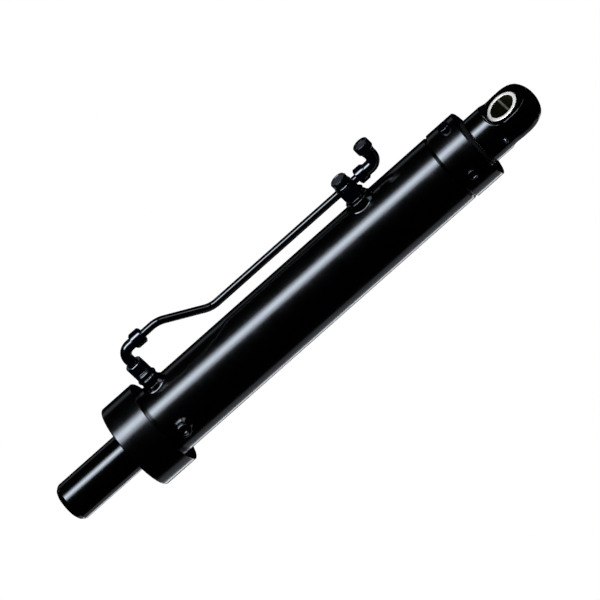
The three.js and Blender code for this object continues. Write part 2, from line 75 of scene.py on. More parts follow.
# ------------------------------------------------------------------ mesh helpers
def fil(profile, closed=False, n=5):
    """Rounds the corners of a profile: entries are (r, z) or (r, z, fillet radius)."""
    pts = [Vector((p[0], p[1])) for p in profile]
    rad = [p[2] if len(p) > 2 else 0.0 for p in profile]
    out, m = [], len(pts)
    for i in range(m):
        if rad[i] <= 0 or (not closed and i in (0, m - 1)):
            out.append((pts[i].x, pts[i].y)); continue
        a, b = pts[i - 1] - pts[i], pts[(i + 1) % m] - pts[i]
        la, lb = a.length, b.length
        a, b = a / la, b / lb
        half = math.acos(max(-1, min(1, a.dot(b)))) / 2
        if half > PI / 2 - 0.02:
            out.append((pts[i].x, pts[i].y)); continue
        reach = min(rad[i] / math.tan(half), 0.48 * la, 0.48 * lb)
        r = reach * math.tan(half)
        c = pts[i] + (a + b).normalized() * (r / math.sin(half))
        f, t = pts[i] + a * reach - c, pts[i] + b * reach - c
        turn = math.acos(max(-1, min(1, f.normalized().dot(t.normalized()))))
        for k in range(n + 1):
            u = k / n
            q = f * (math.sin((1 - u) * turn) / math.sin(turn)) + t * (math.sin(u * turn) / math.sin(turn)) + c
            out.append((q.x, q.y))
    return out

AX = {
    "X": (X_ROW, Vector((0, 1, 0)), Vector((0, 0, 1))),
    "Z": (Vector((0, 0, 1)), X_ROW, Vector((0, 1, 0))),
}
def radial(angle):
    """Axes of a piece standing out of the barrel, angle in degrees from -Y towards +Z."""
    a = math.radians(angle)
    n = Vector((0, -math.cos(a), math.sin(a)))
    return (n, X_ROW, n.cross(X_ROW))

def finish_mesh(name, verts, faces, sharp=28.0, smooth=True):
    me = bpy.data.meshes.new(name)
    me.from_pydata([tuple(v) for v in verts], [], faces)
    me.validate()
    bm = bmesh.new(); bm.from_mesh(me)
    bmesh.ops.remove_doubles(bm, verts=bm.verts, dist=1e-7)
    bmesh.ops.dissolve_degenerate(bm, edges=bm.edges, dist=1e-7)
    bmesh.ops.recalc_face_normals(bm, faces=bm.faces)
    bm.to_mesh(me); bm.free()
    if smooth:
        me.shade_smooth()
        me.set_sharp_from_angle(angle=math.radians(sharp))
    ob = bpy.data.objects.new(name, me)
    bpy.context.scene.collection.objects.link(ob)
    return ob

def lathe(name, rings, axes="X", at=(0, 0, 0), sides=128, closed=False, sharp=28.0, phase=0.0):
    """Rings are (r, z) in mm or functions of the angle that give (r, z)."""
    a, e1, e2 = AX[axes] if isinstance(axes, str) else axes
    o = Vector(at)
    verts, index = [], []
    for ring in rings:
        if not callable(ring) and ring[0] < 1e-6:
            index.append([len(verts)] * sides)
            verts.append((o + a * ring[1]) * MM); continue
        row = []
        for j in range(sides):
            th = 2 * PI * j / sides + phase
            r, z = ring(th) if callable(ring) else ring
            row.append(len(verts))
            verts.append((o + a * z + (e1 * math.cos(th) + e2 * math.sin(th)) * r) * MM)
        index.append(row)
    faces = []
    n = len(index)
    for i in range(n if closed else n - 1):
        p, q = index[i], index[(i + 1) % n]
        for j in range(sides):
            k = (j + 1) % sides
            f = []
            for v in (p[j], p[k], q[k], q[j]):
                if v not in f: f.append(v)
            if len(f) > 2: faces.append(f)
    return finish_mesh(name, verts, faces, sharp)

def hexr(af, turned=0.982):
    reach = af / math.sqrt(3) * turned
    def r(th):
        m = (th % (PI / 3)) - PI / 6
        return min(af / 2 / math.cos(m), reach)
    return r

def hex_rings(af, z0, z1, inner=None, bevel=0.35, top=True, bottom=True, turned=0.982, turn=0.0):
    """Rings of a turned hexagon from z0 up to z1, chamfered at 30 degrees."""
    hr, rc, tn = (lambda th, h=hexr(af, turned): h(th + turn)), af / 2 - bevel, math.tan(math.radians(30))
    e = 0.18
    rings = []
    if bottom:
        rings += [(rc - 0.25, z0), (rc, z0 + 0.03), lambda th: (hr(th) - e * 0.3, z0 + (hr(th) - rc) * tn), lambda th: (hr(th), z0 + (hr(th) - rc) * tn + e)]
    else:
        rings += [lambda th: (hr(th), z0)]
    if top:
        rings += [lambda th: (hr(th), z1 - (hr(th) - rc) * tn - e), lambda th: (hr(th) - e * 0.3, z1 - (hr(th) - rc) * tn), (rc, z1 - 0.03), (rc - 0.25, z1)]
    else:
        rings += [lambda th: (hr(th), z1)]
    return rings

def saddle(r, R, lift=0.0):
    return lambda th: (r, math.sqrt(max(R * R - (r * math.sin(th)) ** 2, 0)) + lift)

def bent(corners, radius, n=14):
    at = [Vector(c) for c in corners]
    pts = [at[0]]
    for i in range(1, len(at) - 1):
        back, on = (at[i - 1] - at[i]).normalized(), (at[i + 1] - at[i]).normalized()
        half = back.angle(on) / 2
        reach = radius / math.tan(half)
        mid = at[i] + (back + on).normalized() * (radius / math.sin(half))
        f, t = at[i] + back * reach - mid, at[i] + on * reach - mid
        turn = f.angle(t)
        for k in range(n + 1):
            u = k / n
            pts.append(f * (math.sin((1 - u) * turn) / math.sin(turn)) + t * (math.sin(u * turn) / math.sin(turn)) + mid)
    pts.append(at[-1])
    return pts

def sweep(name, pts, r, bore, sides=40, radius_at=None):
    """Hollow tube along points, in mm, with softened ends."""
    tans = []
    for i in range(len(pts)):
        t = Vector((0, 0, 0))
        if i: t += (pts[i] - pts[i - 1]).normalized()
        if i < len(pts) - 1: t += (pts[i + 1] - pts[i]).normalized()
        tans.append(t.normalized())
    n = Vector((0, 1, 0)) if abs(tans[0].y) < 0.9 else Vector((0, 0, 1))
    n = (n - tans[0] * n.dot(tans[0])).normalized()
    frames = []
    for t in tans:
        n = (n - t * n.dot(t)).normalized()
        frames.append((n.copy(), t.cross(n)))
    rings = []
    def add(i, rr, shift=0.0):
        nn, bb = frames[i]
        rings.append([(pts[i] + tans[i] * shift + (nn * math.cos(2 * PI * j / sides) + bb * math.sin(2 * PI * j / sides)) * rr) * MM for j in range(sides)])
    last = len(pts) - 1
    add(0, r - 0.5, 0); add(0, r - 0.12, 0.15); add(0, r, 0.5)
    for i in range(1, last): add(i, radius_at(i, r) if radius_at else r)
    add(last, r, -0.5); add(last, r - 0.12, -0.15); add(last, r - 0.5, 0)
    for i in range(last, -1, -1): add(i, bore)
    verts = [v for ring in rings for v in ring]
    faces = []
    m = len(rings)
    for i in range(m):
        for j in range(sides):
            k, i2 = (j + 1) % sides, (i + 1) % m
            faces.append([i * sides + j, i * sides + k, i2 * sides + k, i2 * sides + j])
    return finish_mesh(name, verts, faces)

def joined(name, *obs):
    """One object from several, by an exact union, so that it stays one clean body."""
    base = obs[0]
    for o in obs[1:]:
        mod = base.modifiers.new("join", "BOOLEAN")
        mod.operation, mod.solver, mod.object = "UNION", "EXACT", o
        apply_all(base)
        bpy.data.objects.remove(o, do_unlink=True)
    base.name = name
    return base

def apply_all(ob):
    dg = bpy.context.evaluated_depsgraph_get()
    dg.update()
    me = bpy.data.meshes.new_from_object(ob.evaluated_get(dg))
    ob.modifiers.clear()
    old = ob.data
    ob.data = me
    bpy.data.meshes.remove(old)
    me.shade_smooth()
    me.set_sharp_from_angle(angle=math.radians(28))

def minus(ob, tool):
    mod = ob.modifiers.new("cut", "BOOLEAN")
    mod.operation, mod.solver, mod.object = "DIFFERENCE", "EXACT", tool
    apply_all(ob)
    bpy.data.objects.remove(tool, do_unlink=True)
    return ob

# ------------------------------------------------------------------ materials
class Mat:
    """Small helper to write a procedural Principled material."""
    def __init__(self, name, **sockets):
        self.m = bpy.data.materials.new(name)
        self.m.use_nodes = True
        self.t = self.m.node_tree
        self.b = next(n for n in self.t.nodes if n.type == "BSDF_PRINCIPLED")
        for k, v in sockets.items():
            self.b.inputs[k.replace("_", " ")].default_value = v
        self.co = self.t.nodes.new("ShaderNodeTexCoord").outputs["Object"]
        self.height = None
    def link(self, a, b): self.t.links.new(a, b); return b
    def node(self, kind, **props):
        n = self.t.nodes.new(kind)
        for k, v in props.items(): setattr(n, k, v)
        return n
    def scaled(self, sx, sy, sz):
        n = self.node("ShaderNodeMapping"); self.link(self.co, n.inputs["Vector"])
        n.inputs["Scale"].default_value = (sx, sy, sz)
        return n.outputs["Vector"]
    def noise(self, scale, detail=3.0, rough=0.55, vector=None, distortion=0.0):
        n = self.node("ShaderNodeTexNoise")
        self.link(vector or self.co, n.inputs["Vector"])
        n.inputs["Scale"].default_value, n.inputs["Detail"].default_value = scale, detail
        n.inputs["Roughness"].default_value, n.inputs["Distortion"].default_value = rough, distortion
        return n.outputs["Fac"]
    def remap(self, src, a, b, lo, hi):
        n = self.node("ShaderNodeMapRange")
        self.link(src, n.inputs["Value"])
        for k, v in zip(("From Min", "From Max", "To Min", "To Max"), (a, b, lo, hi)): n.inputs[k].default_value = v
        return n.outputs["Result"]
    def math(self, op, a, b=None):
        n = self.node("ShaderNodeMath", operation=op)
        for i, v in enumerate((a, b)):
            if v is None: continue
            if isinstance(v, (int, float)): n.inputs[i].default_value = v
            else: self.link(v, n.inputs[i])
        return n.outputs[0]
    def ramp(self, src, *stops):
        n = self.node("ShaderNodeValToRGB"); self.link(src, n.inputs["Fac"])
        el = n.color_ramp.elements
        while len(el) < len(stops): el.new(0.5)
        for e, (p, c) in zip(el, stops): e.position, e.color = p, (*c, 1)
        return n.outputs["Color"]
    def color(self, src): self.link(src, self.b.inputs["Base Color"]); return self
    def rough(self, src): self.link(src, self.b.inputs["Roughness"]); return self
    def bump(self, src, strength, distance_mm):
        n = self.node("ShaderNodeBump")
        n.inputs["Strength"].default_value = strength
        n.inputs["Distance"].default_value = distance_mm * MM
        self.link(src, n.inputs["Height"])
        if self.height: self.link(self.height, n.inputs["Normal"])
        self.height = n.outputs["Normal"]
        self.link(self.height, self.b.inputs["Normal"])
        return self

def black_paint(name, peel=0.10, rough=(0.13, 0.2), peel_scale=260, base=0.00006, cast=0.0, grain=0.0):
    """Sprayed gloss black: orange peel, faint dust nibs and thin cloudy film."""
    m = Mat(name, Metallic=0.0, IOR=1.5)
    cloud = m.noise(9, 4)
    m.color(m.ramp(cloud, (0.35, (base * 0.8, base * 0.85, base * 1.1)), (0.7, (base * 1.5, base * 1.6, base * 2.1))))
    m.rough(m.remap(m.noise(38, 5, 0.6), 0.3, 0.7, rough[0], rough[1]))
    m.bump(m.noise(peel_scale, 2, 0.45), peel, 0.12)
    m.bump(m.noise(26, 2, 0.5), 0.25, 0.16)
    if cast: m.bump(m.noise(520, 4, 0.65), cast, 0.14)
    nibs = m.node("ShaderNodeTexVoronoi"); m.link(m.co, nibs.inputs["Vector"]); nibs.inputs["Scale"].default_value = 150
    m.bump(m.remap(nibs.outputs["Distance"], 0.0, 0.07, 1.0, 0.0), 0.10 + grain, 0.06)
    return m.m

def turned_metal(name, color, rough, metallic=1.0, axis="X", rings=2600, blotch=0.12, coat=0.0, strength=0.12):
    """Turned metal: fine lay round the axis, with cloudy tone."""
    m = Mat(name, Metallic=metallic)
    v = {"X": m.scaled(rings, 14, 14), "Z": m.scaled(14, 14, rings), "none": m.co}[axis]
    lay = m.noise(1.0 if axis != "none" else 700, 3, 0.6, vector=v)
    cloud = m.noise(30, 4, 0.6)
    lo, hi = [c * (1 - blotch) for c in color], [min(1, c * (1 + blotch)) for c in color]
    m.color(m.ramp(cloud, (0.3, lo), (0.7, hi)))
    m.rough(m.remap(m.math("ADD", m.math("MULTIPLY", lay, 0.5), m.math("MULTIPLY", cloud, 0.5)), 0.3, 0.7, rough[0], rough[1]))
    m.bump(lay, strength, 0.03)
    return m.m

M = {}
M["paint_barrel"] = black_paint("paint_barrel", rough=(0.15, 0.2))
M["paint_stub"] = black_paint("paint_stub", peel=0.05, rough=(0.11, 0.16), peel_scale=220)
M["paint_cast"] = black_paint("paint_cast", peel=0.12, rough=(0.15, 0.21), peel_scale=420, cast=0.16, grain=0.2)
M["paint_eye"] = black_paint("paint_eye", peel=0.05, rough=(0.13, 0.18), peel_scale=240)
M["paint_weld"] = black_paint("paint_weld", peel=0.07, rough=(0.09, 0.14), peel_scale=330, cast=0.04)
M["paint_tube"] = black_paint("paint_tube", peel=0.04, rough=(0.1, 0.16), peel_scale=300)

def fitting(name, axis):
    m = Mat(name, Metallic=0.0, IOR=1.65)
    v = {"X": m.scaled(1800, 30, 30), "Z": m.scaled(30, 30, 1800)}[axis]
    lay, cloud = m.noise(1.0, 3, 0.6, vector=v), m.noise(70, 4, 0.6)
    m.color(m.ramp(cloud, (0.3, (0.0001, 0.0003, 0.0008)), (0.75, (0.0002, 0.0007, 0.0020))))
    m.rough(m.remap(m.math("ADD", m.math("MULTIPLY", lay, 0.45), m.math("MULTIPLY", cloud, 0.55)), 0.3, 0.7, 0.10, 0.16))
    m.bump(lay, 0.04, 0.03)
    m.bump(m.noise(420, 3, 0.6), 0.04, 0.05)
    return m.m
M["fitting_x"], M["fitting_z"] = fitting("fitting_x", "X"), fitting("fitting_z", "Z")

def cap_plastic():
    m = Mat("cap_moulded", Metallic=0.0, IOR=1.48)
    m.color(m.ramp(m.noise(60, 3), (0.3, (0.0002, 0.0005, 0.0010)), (0.7, (0.0004, 0.0011, 0.0020))))
    m.rough(m.remap(m.noise(240, 4, 0.7), 0.3, 0.7, 0.15, 0.22))
    m.bump(m.noise(900, 3, 0.6), 0.06, 0.03)
    return m.m
M["cap"] = cap_plastic()
M["chrome"] = turned_metal("chrome_rod", (0.74, 0.75, 0.77), (0.045, 0.085), rings=3400, blotch=0.03, strength=0.03, metallic=0.45)
M["bright"] = turned_metal("bright_steel", (0.84, 0.77, 0.66), (0.38, 0.46), metallic=0.5, axis="none", blotch=0.03, strength=0.04)
M["nipple"] = turned_metal("nipple_steel", (0.12, 0.13, 0.15), (0.2, 0.3), axis="none", blotch=0.1, strength=0.05)
def bush_lining():
    """Bronze-tinted bore with a painted reflection: one pale streak painted along it."""
    m = Mat("bush_lining", Metallic=0.55)
    cloud = m.noise(60, 4, 0.6)
    dark = m.ramp(cloud, (0.3, (0.012, 0.012, 0.004)), (0.7, (0.030, 0.028, 0.010)))
    # painted reflection: a narrow pale streak near x = 772.2 mm, mixed into the dark bronze tone, stands in for a
    # highlight on the bore wall
    x = m.node("ShaderNodeSeparateXYZ"); m.link(m.co, x.inputs[0])
    painted_streak_dist = m.math("ABSOLUTE", m.math("SUBTRACT", x.outputs["X"], 0.7722))
    mix = m.node("ShaderNodeMix", data_type="RGBA")
    m.link(m.remap(painted_streak_dist, 0.0004, 0.0021, 1.0, 0.0), mix.inputs["Factor"])
    m.link(dark, mix.inputs["A"]); mix.inputs["B"].default_value = (0.62, 0.58, 0.42, 1)
    m.color(mix.outputs["Result"])
    m.rough(m.remap(cloud, 0.3, 0.7, 0.3, 0.42))
    m.bump(m.noise(900, 2, 0.5), 0.04, 0.03)
    return m.m
M["lining"] = bush_lining()
M["iron"] = turned_metal("machined_iron", (0.26, 0.26, 0.27), (0.34, 0.5), rings=1400, blotch=0.2, strength=0.3)
M["bronze"] = turned_metal("guide_bronze", (0.42, 0.30, 0.13), (0.35, 0.5), rings=1200, blotch=0.2, strength=0.3)

def soft_ring(name, lo, hi, rough):
    m = Mat(name, Metallic=0.0, IOR=1.45)
    m.color(m.ramp(m.noise(80, 4), (0.3, lo), (0.7, hi)))
    m.rough(m.remap(m.noise(300, 3), 0.3, 0.7, rough[0], rough[1]))
    m.bump(m.noise(1100, 2), 0.2, 0.04)
    return m.m
M["rubber"] = soft_ring("seal_rubber", (0.0008, 0.0008, 0.0009), (0.0018, 0.0018, 0.002), (0.6, 0.75))
M["polymer"] = soft_ring("guide_polymer", (0.02, 0.06, 0.045), (0.035, 0.09, 0.07), (0.4, 0.55))

def dress(ob, mat, body, *nodes):
    ob.data.materials.clear()
    ob.data.materials.append(M[mat])
    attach(ob, body)
    if nodes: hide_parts(*nodes)
    return ob

# ------------------------------------------------------------------ base end
GAP = 0.3
stub = [(0, 0), (19.8, 0, 2.2), (24.2, 2.2, 3.0), (27.2, 6.2, 2.0), (28.5, 8.8, 0.5), (28.5, 143), (0, 143)]
dress(lathe("spigot_shaft_fine", fil(stub, n=7)), "paint_stub", "barrel", "spigot_shaft")

cap = [(0, 143.3), (28.8, 143.3), (28.8, 119, 0.4), (30.8, 117, 0.5), (64, 117, 2.8), (64, 168.7, 1.4),
       (50.4, 168.7, 0.4), (50.4, 154.1), (39.6, 154.1), (39.6, 172.5), (36.9, 172.5), (36.9, 177.5), (39.6, 177.5),
       (39.6, 184, 1.4), (0, 184)]
dress(lathe("base_cap_fine", fil(cap, n=7), sides=192), "paint_cast", "barrel", "base_cap")
dress(lathe("base_cap_oring_fine", [(38.36 + 1.18 * math.cos(a), 175 + 2.1 * math.sin(a)) for a in np.linspace(0, 2 * PI, 14, endpoint=False)], closed=True, sides=96), "rubber", "barrel", "base_cap_oring")

# ------------------------------------------------------------------ barrel and gland
barrel = lathe("barrel_tube_fine", fil([(40, 154.4), (50, 154.4), (50, 667.6, 0.5), (47.9, 669.8, 0.4), (41.2, 669.8), (40, 668.3)], closed=True), closed=True, sides=192)
dress(barrel, "paint_barrel", "barrel", "barrel_tube")

gland = [(28.8, 579.3), (38.4, 579.3), (39.6, 580.5), (39.6, 646), (36.6, 646), (36.6, 654.5), (39.6, 654.5), (39.6, 670.1),
         (47.9, 670.1, 0.4), (51, 672.8, 0.5), (51, 716.5, 1.5), (34.1, 716.5, 0.4), (34.1, 707), (28.8, 707), (28.8, 703),
         (35.2, 703), (35.2, 692), (28.8, 692), (28.8, 682), (34.2, 682), (34.2, 676), (28.8, 676), (28.8, 638), (31.5, 638),
         (31.5, 592), (28.8, 592)]
dress(lathe("gland_body_fine", fil(gland, closed=True), closed=True, sides=192), "paint_barrel", "barrel", "gland_body")
dress(lathe("gland_oring_fine", [(38.2 + 1.3 * math.cos(a), 648.5 + 2.1 * math.sin(a)) for a in np.linspace(0, 2 * PI, 14, endpoint=False)], closed=True, sides=96), "rubber", "barrel", "gland_oring")
def ring_piece(name, r0, r1, z0, z1, mat, body, node, f=0.3):
    return dress(lathe(name, fil([(r0, z0, f), (r1, z0, f), (r1, z1, f), (r0, z1, f)], closed=True, n=3), closed=True, sides=96), mat, body, node)
ring_piece("gland_backup_ring_fine", 36.9, 39.5, 651.4, 654.1, "polymer", "barrel", "gland_backup_ring")
ring_piece("rod_guide_ring_fine", 28.35, 31.2, 592.3, 637.7, "bronze", "barrel", "rod_guide_ring")
ring_piece("rod_buffer_ring_fine", 28.35, 33.9, 676.3, 681.7, "polymer", "barrel", "rod_buffer_ring")
ring_piece("rod_seal_fine", 28.35, 34.9, 692.3, 702.7, "rubber", "barrel", "rod_seal", 0.6)
wiper = [(28.35, 707.3), (33.7, 707.3), (33.7, 717.0, 0.5), (32.0, 717.6, 0.5), (29.6, 719.8, 0.4), (28.35, 719.8, 0.2)]
dress(lathe("rod_wiper_fine", fil(wiper, closed=True), closed=True, sides=128), "rubber", "barrel", "rod_wiper")

def socket_rings(r_top, z_top, af, depth, point=1.2):
    """From a top face inwards: a hexagon socket with a drilled point."""
    hr = lambda th: af / 2 / math.cos((th % (PI / 3)) - PI / 6)
    return [(r_top, z_top), lambda th: (hr(th) + 0.35, z_top), lambda th: (hr(th), z_top - 0.35), lambda th: (hr(th), z_top - depth),
            (af / 2 * 0.9, z_top - depth - 0.02), (0, z_top - depth - point)]

for name, at_x, angle, pr, top in (("gland_top_plug", 701, 79.5, 8.3, 57.4), ("gland_side_plug", 691.6, -2.5, 6.8, 56.4)):
    outer = fil([(0, 39), (5, 39), (5, 49.8), (pr - 0.4, 49.8), (pr, 51.3, 0.5), (pr, top, 1.0), (pr - 2.0, top)], n=6)
    dress(lathe(name + "_fine", outer + socket_rings(4.9, top, 7.0, 3.6), radial(angle), (at_x, 0, 0), sides=72), "fitting_z", "barrel", name)

# ------------------------------------------------------------------ base-side port
BPX, RPX, OUX, ZHI, ZLO = 197.2, 555.6, 604.9, 112.9, 66.4
boss = [(0, 44), (17.4, 44), saddle(18.4, 50, -0.6), saddle(18.6, 50, 0.0), saddle(18.55, 50, 0.4), saddle(18.3, 50, 0.85), saddle(17.8, 50, 1.25), saddle(17.0, 50, 1.6), (15.7, 52.7), (14.5, 53.9),
        (13.6, 55.4), (13.0, 57.4), (12.8, 59.4)] + fil([(12.7, 60.2), (12.6, 62.0, 0.9), (11.0, 62.0), (7.2, 62.0)], n=6) + [ (7, 62.0), (7, 44.2)]
dress(lathe("base_port_boss_fine", boss, "Z", (BPX, 0, 0), sides=96, sharp=34), "paint_weld", "barrel", "base_port_boss")

adaptor = [(4, 51.5), (6.6, 51.5), (6.6, 62.3), (13.2, 62.3, 0.4), (14.2, 63.2, 0.45), (14.2, 64.7, 0.45), (13.4, 65.7, 0.3), (12.8, 66.1, 0.3), (12.3, 66.4, 0.3),
           (12.3, 72.4, 0.3), (11.9, 72.8), (11.9, 73.3), (12.3, 73.6, 0.2), (12.3, 74.0, 0.3), (11.6, 74.6, 0.2), (4, 74.6)]
dress(lathe("base_port_adaptor_fine", fil(adaptor, closed=True, n=4), "Z", (BPX, 0, 0), sides=96, closed=True), "fitting_z", "barrel", "base_port_adaptor")

swivel = fil([(8.0, 74.9), (11.8, 74.9, 0.3), (12.45, 75.5, 0.4), (12.45, 76.6, 0.5), (11.4, 77.1, 0.3)], n=4) + hex_rings(23.2, 77.2, 88.2, bevel=0.4, turned=0.925) + \
    fil([(11.3, 88.3, 0.3), (12.25, 88.8, 0.3), (12.25, 90.2, 0.6), (11.5, 91, 0.4), (8.6, 91, 0.4), (8.0, 90.4)], n=4)
dress(lathe("base_swivel_nut_fine", swivel, "Z", (BPX, 0, 0), sides=96, closed=True), "fitting_z", "barrel", "base_swivel_nut")

elbow = sweep("base_elbow_fine", bent([(BPX, 0, 75.4), (BPX, 0, ZHI), (226.2, 0, ZHI)], 14), 7.6, 4)
dress(elbow, "fitting_z", "barrel", "base_elbow")

NUT_TURN = math.radians(14)
def tube_nut(name, x0, length, flip, af, at, node, split, turn=0.0):
    """Compression nut. Its tube side has the small bore; flip puts that side at the far end."""
    a, e1, e2 = AX["X"]
    n = length
    body = fil([(5.8, 0.0), (7.2, 0.0, 0.3), (af / 2 - 1.0, 0.6, 0.5), (af / 2 - 0.6, 1.2, 0.3)], n=3) + hex_rings(af, 1.3, n - 1.3, bevel=0.4, turned=0.915, turn=turn) + \
        fil([(af / 2 - 0.6, n - 1.2, 0.3), (af / 2 - 0.7, n, 0.4), (8.0, n, 0.2), (8.0, split), (5.8, split)], n=3)
    axes = (a, e1, e2) if not flip else (-a, e1, -e2)
    at = (at[0] + (n if flip else 0), at[1], at[2])
    return dress(lathe(name, body, axes, at, sides=96, closed=True), "fitting_x", "barrel", node)
tube_nut("base_tube_nut_fine", 0, 17.0, True, 21.4, (217.4, 0, ZHI), "base_tube_nut", 7.6, NUT_TURN)
tube_nut("outlet_tube_nut_fine", 0, 15.0, False, 21.4, (571.1, 22, ZLO), "outlet_tube_nut", 7.2, -NUT_TURN)

tube = sweep("transfer_tube_fine", bent([(226.8, 0, ZHI), (259, 0, ZHI), (317.5, 22, ZLO), (578.0, 22, ZLO)], 26, 20), 5.5, 3.7)
dress(tube, "paint_tube", "barrel", "transfer_tube")

# ------------------------------------------------------------------ outlet elbow and cap
out_a = joined("outlet_elbow_fine", sweep("outlet_bend", bent([(586.4, 22, ZLO), (OUX, 22, ZLO), (OUX, 22, 85)], 12), 8.8, 4.0),
               lathe("outlet_tail", fil([(4.0, 578.6), (7.6, 578.6, 0.3), (7.6, 588), (4.0, 588)], closed=True, n=3), "X", (0, 22, ZLO), sides=40, closed=True))
dress(out_a, "fitting_z", "barrel", "outlet_elbow")
neck = [(4.2, 82.6), (8.7, 82.6, 0.3), (9.3, 83.6, 0.4), (9.3, 86.4, 0.5), (8.5, 87.2, 0.3), (7.9, 87.4), (7.9, 95.7), (7.2, 96.4), (4.2, 96.4)]
dress(lathe("outlet_elbow_spud", fil(neck, closed=True, n=3), "Z", (OUX, 22, 0), sides=96, closed=True), "fitting_z", "barrel")

def ribbed(r, z, depth=0.35, ribs=24):
    return lambda th: (r - depth * (0.5 - 0.5 * math.cos(ribs * th)) ** 2, z)
ocap = [(8.3, 88.2), (10.5, 88.2), (11.0, 88.35), (11.35, 88.65), (11.55, 89.1), (11.6, 89.6), (11.6, 90.3), ribbed(11.6, 90.7, 0.18, 40), ribbed(11.6, 97.6, 0.18, 40), (11.6, 98.2), (11.6, 98.8), (11.5, 99.3), (11.25, 99.75),
        (10.9, 100.05), (10.4, 100.2), (10.0, 100.2), (9.6, 100.0), (9.35, 99.6), (9.1, 98.6), (8.8, 98.2), (0, 98.2)]
ocap_in = [(0, 96.9), (8.3, 96.9)]
dress(lathe("outlet_cap_fine", ocap_in + ocap, "Z", (OUX, 22, 0), sides=192), "cap", "barrel", "outlet_cap")

# ------------------------------------------------------------------ rod-side port
rboss = [(0, 42), (20.8, 42), saddle(21.6, 50, -0.6), saddle(21.8, 50, 0.0), saddle(21.75, 50, 0.35), saddle(21.55, 50, 0.75), saddle(21.2, 50, 1.1), saddle(20.7, 50, 1.35), saddle(20.2, 50, 1.9),
         (18.3, 53.4)] + fil([(17.5, 55.0), (17.1, 57.5, 1.3), (14.0, 57.5), (8.5, 57.5)], n=7) + [ (8.4, 57.5), (8.4, 44)]
dress(lathe("rod_port_boss_fine", rboss, "Z", (RPX, 0, 0), sides=96, sharp=34), "paint_weld", "barrel", "rod_port_boss")

radp = fil([(4.6, 51.5), (8, 51.5), (8, 57.8), (13.2, 57.8, 0.4), (13.7, 58.4, 0.3), (13.7, 60.4, 0.4), (12.6, 61.0, 0.3)], n=3) + hex_rings(25.6, 61.2, 80.4, bevel=0.4, turned=0.925) + \
    fil([(12.4, 80.6, 0.3), (13.0, 81.2, 0.3), (13.0, 84.3, 1.0), (11.0, 84.3), (7.9, 84.3, 0.2), (7.9, 90.2, 0.4), (7.2, 90.8, 0.2), (4.6, 90.8)], n=3)
dress(lathe("rod_port_adaptor_fine", radp, "Z", (RPX, 0, 0), sides=96, closed=True), "fitting_z", "barrel", "rod_port_adaptor")
rcap = [(0, 91.3), (8.3, 91.3), (8.3, 84.7)] + hex_rings(22.2, 84.7, 92.6, bevel=0.7, turned=0.93, top=False) + fil([(11.0, 92.8), (11.0, 93.9, 0.9), (8.6, 93.9, 0.4), (8.0, 93.3, 0.4), (0, 93.3)], n=6)
dress(lathe("rod_port_cap_fine", rcap, "Z", (RPX, 0, 0), sides=96), "cap", "barrel", "rod_port_cap")

# strut under the tube's end: a forged bar with soft edges
a, b = Vector((559.5, 7, 51)), Vector((568.5, 18.8, 61.5))
d = (b - a).normalized()
side = d.cross(Vector((0, 0, 1))).normalized(); upv = side.cross(d)
verts, faces, n_s = [], [], 28
prof = []
for k in range(n_s):
    t = 2 * PI * k / n_s
    c, s = math.cos(t), math.sin(t)
    prof.append((3.5 * math.copysign(abs(c) ** 0.45, c), 4.4 * math.copysign(abs(s) ** 0.45, s)))
length = (b - a).length
steps = [(0.6, 0.82), (1.2, 0.95), (2.4, 1.0), (length * 0.5, 0.98), (length * 0.72, 0.95), (length - 4.2, 0.9), (length - 3.4, 0.8)]
for z, k in steps:
    for x, y in prof: verts.append((a + d * z + side * x * k + upv * y * k) * MM)
faces.append(list(range(n_s))[::-1])
for i in range(len(steps) - 1):
    for k in range(n_s): faces.append([i * n_s + k, i * n_s + (k + 1) % n_s, (i + 1) * n_s + (k + 1) % n_s, (i + 1) * n_s + k])
faces.append([(len(steps) - 1) * n_s + k for k in range(n_s)])
dress(finish_mesh("tube_support_fine", verts, faces, 40), "paint_weld", "barrel", "tube_support")

# ------------------------------------------------------------------ bleed point
bb = [(0, 44), (11.6, 44), saddle(12.2, 50, -0.5), saddle(12.4, 50, 0.3), saddle(12.0, 50, 0.8), (10.6, 51.8), (9.4, 53.0), (8.6, 54.6), (8.2, 56.4)] + \
     fil([(8.1, 57.6), (8.3, 58.8, 0.5), (9.7, 59.8, 0.5), (9.7, 63.3, 0.6), (9.0, 64, 0.4), (6.3, 64, 0.3), (6.0, 63.6), (6.0, 55.4), (3, 55.4), (3, 44.2)], n=4)
dress(lathe("bleed_boss_fine", bb, radial(0), (192.5, 0, 0), sides=96, sharp=34), "paint_weld", "barrel", "bleed_boss")
bp = fil([(0, 55.8), (5.7, 55.8), (5.7, 62.0, 0.4), (5.1, 62.6, 0.3), (4.6, 62.6)], n=3) + socket_rings(4.2, 62.6, 5.6, 3.6)
dress(lathe("bleed_plug_fine", bp, radial(0), (192.5, 0, 0), sides=72), "fitting_z", "barrel", "bleed_plug")

# ------------------------------------------------------------------ rod, piston and stop tube
rodp = [(0, 187), (16.4, 187), (17.5, 188.2), (17.5, 209), (19.2, 209), (20, 209.8), (20, 269), (26.5, 269), (28, 270.5), (28, 720.3), (21, 720.3), (21, 740.6), (19.6, 742), (0, 742)]
dress(lathe("piston_rod_fine", rodp, sides=160), "chrome", "rod", "piston_rod")
pist = [(20.3, 209.3), (38.5, 209.3), (39.3, 210.1), (39.3, 215), (36.8, 215), (36.8, 223.6), (39.3, 223.6), (39.3, 233.8), (34, 233.8), (34, 243.8), (39.3, 243.8),
        (39.3, 254.4), (36.8, 254.4), (36.8, 263), (39.3, 263), (39.3, 267.9), (38.5, 268.7), (20.3, 268.7)]
dress(lathe("piston_fine", pist, sides=128, closed=True), "iron", "rod", "piston")
pn = [(17.9, 0.2)] + hex_rings(50, 0, 20.4, bevel=1.5) + [(17.9, 20.2)]
dress(lathe("piston_nut_fine", pn, "X", (188.4, 0, 0), sides=96, closed=True), "iron", "rod", "piston_nut")
